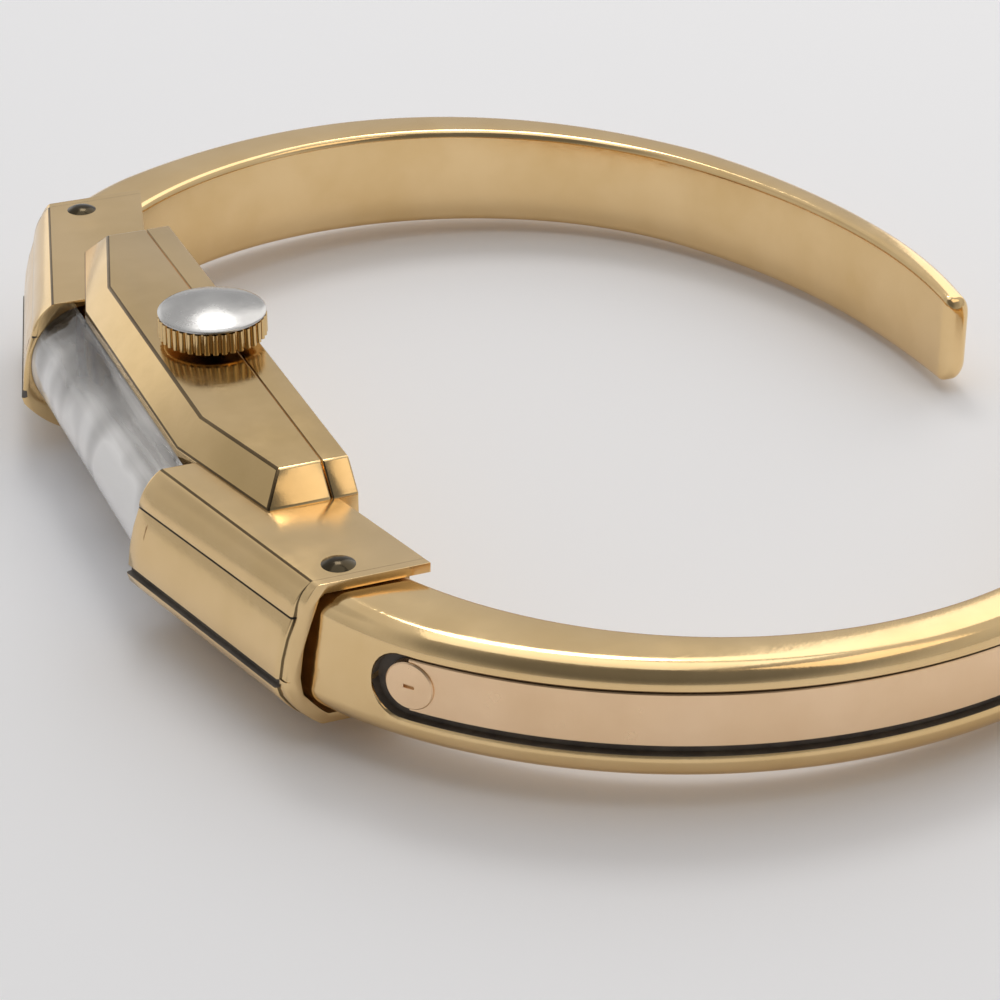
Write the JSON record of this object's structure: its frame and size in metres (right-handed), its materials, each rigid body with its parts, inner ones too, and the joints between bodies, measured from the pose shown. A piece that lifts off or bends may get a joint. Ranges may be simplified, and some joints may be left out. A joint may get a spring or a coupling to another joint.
{
  "type": "bracelet watch",
  "caption": "Small cuff bracelet watch: oblong case with a domed crystal, a fluted crown on its side and two hooded end blocks in which stiff curved arms swing on pins.",
  "frame": {"origin": "centre of the case back's outer flat face", "axes": "+X out of the case back towards the wrist, +Y towards 12 o'clock, +Z out of the side with the crown"},
  "size_m": [0.0538, 0.065, 0.0114],
  "materials": {
    "gold": "polished yellow gold with fine wear scratches",
    "inlay_metal": "pinkish gold, brushed lengthways",
    "glass": "clear polished crystal",
    "cap_steel": "satin steel cap with worn edges",
    "dial_face": "silvered cream, fine grain",
    "marker_gold": "polished",
    "hand_black": "semi-gloss black",
    "plate_nickel": "nickelled, fine straight grain",
    "wheel_brass": "gilt brass",
    "steel": "polished steel",
    "blued_steel": "blued steel",
    "jewel_red": "polished ruby",
    "pin_metal": "darkened gold"
  },
  "bodies": {
    "case": {"case_body": "gold", "crystal": "glass", "dial": "dial_face", "hour_markers": "marker_gold", "dial_spacer": "plate_nickel", "main_plate": "plate_nickel", "barrel_bridge": "plate_nickel", "train_bridge": "plate_nickel", "pallet_bridge": "plate_nickel", "balance_cock": "plate_nickel", "bridge_screws": "blued_steel", "jewels": "jewel_red", "hairspring": "blued_steel", "stem_tube": "gold", "end_block_12": "gold", "end_block_6": "gold", "hinge_pin_12": "pin_metal", "hinge_pin_6": "pin_metal", "hinge_leaf_12": "steel", "hinge_leaf_6": "steel"},
    "back": {"case_back": "gold"},
    "arm_12": {"arm_12": "gold", "inlay_strip_12": "inlay_metal", "strip_rivets_12": "inlay_metal"},
    "arm_6": {"arm_6": "gold", "inlay_strip_6": "inlay_metal", "strip_rivets_6": "inlay_metal"},
    "winder": {"winding_pinion": "steel"},
    "crown": {"stem": "steel", "crown_body": "gold", "crown_cap": "cap_steel"},
    "clutch": {"sliding_pinion": "steel"},
    "crown_wheel": {"crown_wheel": "steel"},
    "ratchet": {"barrel_arbor": "steel", "ratchet_wheel": "steel"},
    "click": {"click": "steel"},
    "fourth": {"fourth_wheel": "wheel_brass"},
    "third": {"third_wheel": "wheel_brass"},
    "centre": {"centre_wheel": "wheel_brass", "cannon_pinion": "steel", "minute_hand": "hand_black"},
    "barrel": {"barrel_drum": "wheel_brass", "barrel_cover": "wheel_brass", "mainspring": "steel"},
    "escape": {"escape_wheel": "steel"},
    "minute_wheel": {"minute_wheel": "wheel_brass"},
    "hour": {"hour_wheel": "wheel_brass", "hour_hand": "hand_black"},
    "setting_wheel": {"setting_wheel": "steel"},
    "pallets": {"pallet_fork": "steel"},
    "balance": {"balance_wheel": "wheel_brass"}
  },
  "joints": [
    {"name": "back_off", "type": "slide", "parent": "case", "child": "back", "axis": [1, 0, 0], "range_m": [0, 0.006]},
    {"name": "arm_12_hinge", "type": "hinge", "parent": "case", "child": "arm_12", "pos_m": [-0.003, 0.02101, 0], "axis": [0, 0, 1], "range_deg": [0, 34]},
    {"name": "arm_6_hinge", "type": "hinge", "parent": "case", "child": "arm_6", "pos_m": [-0.003, -0.02101, 0], "axis": [0, 0, 1], "range_deg": [-12, 12]},
    {"name": "crown_turn", "type": "hinge", "parent": "case", "child": "winder", "pos_m": [-0.002, 0, 0.003], "axis": [0, 0, 1], "continuous": true},
    {"name": "crown_pull", "type": "slide", "parent": "winder", "child": "crown", "axis": [0, 0, 1], "range_m": [0, 0.0005]},
    {"name": "clutch_slide", "type": "slide", "parent": "winder", "child": "clutch", "axis": [0, 0, 1], "range_m": [-0.00015, 0]},
    {"name": "crown_wheel_turn", "type": "hinge", "parent": "case", "child": "crown_wheel", "pos_m": [-0.002, 0, 0.0011], "axis": [1, 0, 0], "continuous": true},
    {"name": "ratchet_turn", "type": "hinge", "parent": "case", "child": "ratchet", "pos_m": [-0.002, -0.00385, 0], "axis": [1, 0, 0], "continuous": true},
    {"name": "click_lift", "type": "hinge", "parent": "case", "child": "click", "pos_m": [-0.002, -0.0025, 0.00295], "axis": [1, 0, 0], "range_deg": [-12, 0], "stiffness_Nm_per_rad": 0.000001},
    {"name": "fourth_turn", "type": "hinge", "parent": "case", "child": "fourth", "pos_m": [-0.002, 0.0041, -0.00014], "axis": [1, 0, 0], "continuous": true},
    {"name": "third_turn", "type": "hinge", "parent": "case", "child": "third", "pos_m": [-0.002, 0.0022, -0.0009], "axis": [1, 0, 0], "continuous": true},
    {"name": "centre_turn", "type": "hinge", "parent": "case", "child": "centre", "pos_m": [-0.002, 0, 0], "axis": [1, 0, 0], "continuous": true},
    {"name": "barrel_turn", "type": "hinge", "parent": "case", "child": "barrel", "pos_m": [-0.002, -0.00385, 0], "axis": [1, 0, 0], "continuous": true},
    {"name": "escape_turn", "type": "hinge", "parent": "case", "child": "escape", "pos_m": [-0.002, 0.0052, -0.00158], "axis": [1, 0, 0], "continuous": true},
    {"name": "minute_wheel_turn", "type": "hinge", "parent": "case", "child": "minute_wheel", "pos_m": [-0.002, 0.0016, 0.00106], "axis": [1, 0, 0], "continuous": true},
    {"name": "hour_turn", "type": "hinge", "parent": "case", "child": "hour", "pos_m": [-0.002, 0, 0], "axis": [1, 0, 0], "continuous": true},
    {"name": "setting_wheel_turn", "type": "hinge", "parent": "case", "child": "setting_wheel", "pos_m": [-0.002, 0.00025, 0.00274], "axis": [1, 0, 0], "continuous": true},
    {"name": "pallet_rock", "type": "hinge", "parent": "case", "child": "pallets", "pos_m": [-0.002, 0.0061, -0.0003], "axis": [1, 0, 0], "range_deg": [-5, 5]},
    {"name": "balance_swing", "type": "hinge", "parent": "case", "child": "balance", "pos_m": [-0.002, 0.0063, 0.0016], "axis": [1, 0, 0], "range_deg": [-150, 150], "stiffness_Nm_per_rad": 0.00000002}
  ],
  "couplings": [
    {"joint": "clutch_slide", "follows": "crown_pull", "ratio": -0.3},
    {"joint": "crown_wheel_turn", "follows": "crown_turn", "ratio": -0.4},
    {"joint": "ratchet_turn", "follows": "crown_turn", "ratio": 0.26667},
    {"joint": "third_turn", "follows": "fourth_turn", "ratio": -0.125},
    {"joint": "centre_turn", "follows": "fourth_turn", "ratio": 0.016667},
    {"joint": "barrel_turn", "follows": "fourth_turn", "ratio": -0.0022059},
    {"joint": "escape_turn", "follows": "fourth_turn", "ratio": -10},
    {"joint": "minute_wheel_turn", "follows": "fourth_turn", "ratio": -0.0055556},
    {"joint": "hour_turn", "follows": "fourth_turn", "ratio": 0.0013889},
    {"joint": "setting_wheel_turn", "follows": "fourth_turn", "ratio": 0.011111}
  ]
}
